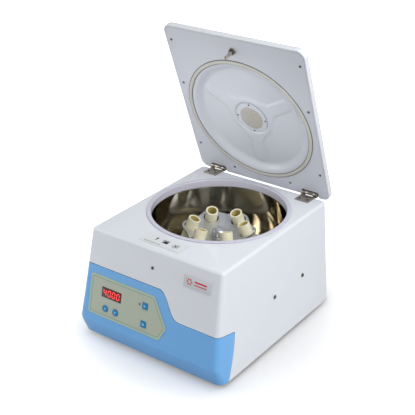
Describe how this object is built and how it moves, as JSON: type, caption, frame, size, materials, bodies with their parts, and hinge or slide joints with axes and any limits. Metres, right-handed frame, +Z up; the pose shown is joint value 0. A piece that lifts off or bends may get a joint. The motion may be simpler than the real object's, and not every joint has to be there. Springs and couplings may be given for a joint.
{
  "type": "laboratory centrifuge",
  "caption": "Bench-top laboratory centrifuge: tapered housing, rear-hinged lid with a round dish, and an angle rotor with tube sleeves in a steel chamber.",
  "frame": {"origin": "table level, under the middle of the whole object's box with the lid open, 12.4 mm behind the middle of the housing's footprint", "axes": "+X to the right seen from the front, +Y to the back, +Z up; the lid stands open 70 degrees"},
  "size_m": [0.324, 0.3942, 0.545],
  "materials": {
    "white_paint": "satin",
    "lid_paint": "satin",
    "dish_plastic": "semi-gloss",
    "rim_plastic": "semi-gloss",
    "blue_plastic": "satin",
    "overlay_film": "satin",
    "display_red": "gloss",
    "status_green": "gloss",
    "board_green": "satin",
    "grey_plate": "satin",
    "key_blue": "satin",
    "cream_plastic": "satin",
    "stainless": "polished",
    "bright_steel": "satin",
    "cast_aluminium": "satin",
    "supply_case": "satin",
    "motor_paint": "satin",
    "dark_rubber": "matte",
    "dark_plastic": "satin",
    "clear_plastic": "clear"
  },
  "bodies": {
    "base": {"housing_shell": "white_paint", "front_bezel": "blue_plastic", "base_plate": "bright_steel", "top_label": "grey_plate", "foot_front_left": "dark_rubber", "foot_front_right": "dark_rubber", "foot_rear_left": "dark_rubber", "foot_rear_right": "dark_rubber", "side_screw_left_rear": "bright_steel", "side_screw_left_front": "bright_steel", "side_screw_right_rear": "bright_steel", "side_screw_right_front": "bright_steel", "control_overlay": "overlay_film", "display_window": "display_red", "status_light": "status_green", "control_board": "board_green", "rating_plate": "grey_plate", "front_screw": "bright_steel", "rear_panel": "grey_plate", "power_inlet": "dark_plastic", "power_switch_frame": "dark_plastic", "fuse_holder": "dark_plastic", "chamber_rim": "rim_plastic", "chamber_bowl": "stainless", "chamber_boot": "dark_rubber", "drive_motor": "motor_paint", "motor_mount": "bright_steel", "motor_damper_1": "dark_rubber", "motor_damper_2": "dark_rubber", "motor_damper_3": "dark_rubber", "power_supply": "supply_case", "latch_body": "dark_plastic", "hinge_left_body_leaf": "bright_steel", "hinge_right_body_leaf": "bright_steel", "hinge_left_pin": "bright_steel", "hinge_right_pin": "bright_steel"},
    "lid": {"lid_shell": "white_paint", "lid_inner_panel": "lid_paint", "lid_dish": "dish_plastic", "lid_seal": "cream_plastic", "lid_window": "clear_plastic", "latch_striker": "bright_steel", "hinge_left_lid_leaf": "bright_steel", "hinge_right_lid_leaf": "bright_steel"},
    "rotor": {"motor_shaft": "bright_steel", "rotor": "cast_aluminium", "rotor_nut": "bright_steel"},
    "sleeve_1": {"tube_sleeve_1": "cream_plastic"},
    "sleeve_2": {"tube_sleeve_2": "cream_plastic"},
    "sleeve_3": {"tube_sleeve_3": "cream_plastic"},
    "sleeve_4": {"tube_sleeve_4": "cream_plastic"},
    "sleeve_5": {"tube_sleeve_5": "cream_plastic"},
    "sleeve_6": {"tube_sleeve_6": "cream_plastic"},
    "speed_up_key": {"speed_up_button": "key_blue"},
    "speed_down_key": {"speed_down_button": "key_blue"},
    "start_key": {"start_button": "key_blue"},
    "stop_key": {"stop_button": "key_blue"},
    "rocker": {"power_switch_rocker": "dark_plastic"},
    "bolt": {"latch_bolt": "bright_steel"}
  },
  "joints": [
    {"name": "lid_hinge", "type": "hinge", "parent": "base", "child": "lid", "pos_m": [0, 0.1828, 0.223], "axis": [-1, 0, 0], "range_deg": [-70, 0]},
    {"name": "rotor_spin", "type": "hinge", "parent": "base", "child": "rotor", "pos_m": [0, 0.0322, 0.12], "axis": [0, 0, 1], "continuous": true},
    {"name": "sleeve_1_lift", "type": "slide", "parent": "rotor", "child": "sleeve_1", "axis": [-0.3473, -0.1403, 0.9272], "range_m": [0, 0.045]},
    {"name": "sleeve_2_lift", "type": "slide", "parent": "rotor", "child": "sleeve_2", "axis": [-0.0521, -0.371, 0.9272], "range_m": [0, 0.045]},
    {"name": "sleeve_3_lift", "type": "slide", "parent": "rotor", "child": "sleeve_3", "axis": [0.2952, -0.2306, 0.9272], "range_m": [0, 0.045]},
    {"name": "sleeve_4_lift", "type": "slide", "parent": "rotor", "child": "sleeve_4", "axis": [0.3473, 0.1403, 0.9272], "range_m": [0, 0.045]},
    {"name": "sleeve_5_lift", "type": "slide", "parent": "rotor", "child": "sleeve_5", "axis": [0.0521, 0.371, 0.9272], "range_m": [0, 0.045]},
    {"name": "sleeve_6_lift", "type": "slide", "parent": "rotor", "child": "sleeve_6", "axis": [-0.2952, 0.2306, 0.9272], "range_m": [0, 0.045]},
    {"name": "speed_up_press", "type": "slide", "parent": "base", "child": "speed_up_key", "axis": [0, 0.9773, -0.2118], "range_m": [0, 0.001], "stiffness_N_per_m": 100, "springref_m": -0.002},
    {"name": "speed_down_press", "type": "slide", "parent": "base", "child": "speed_down_key", "axis": [0, 0.9773, -0.2118], "range_m": [0, 0.001], "stiffness_N_per_m": 100, "springref_m": -0.002},
    {"name": "start_press", "type": "slide", "parent": "base", "child": "start_key", "axis": [0, 0.9773, -0.2118], "range_m": [0, 0.001], "stiffness_N_per_m": 100, "springref_m": -0.002},
    {"name": "stop_press", "type": "slide", "parent": "base", "child": "stop_key", "axis": [0, 0.9773, -0.2118], "range_m": [0, 0.001], "stiffness_N_per_m": 100, "springref_m": -0.002},
    {"name": "power_switch_rock", "type": "hinge", "parent": "base", "child": "rocker", "pos_m": [-0.054, 0.1768, 0.054], "axis": [-1, 0, 0], "range_deg": [0, 18]},
    {"name": "latch_bolt_slide", "type": "slide", "parent": "base", "child": "bolt", "axis": [1, 0, 0], "range_m": [-0.007, 0]}
  ]
}
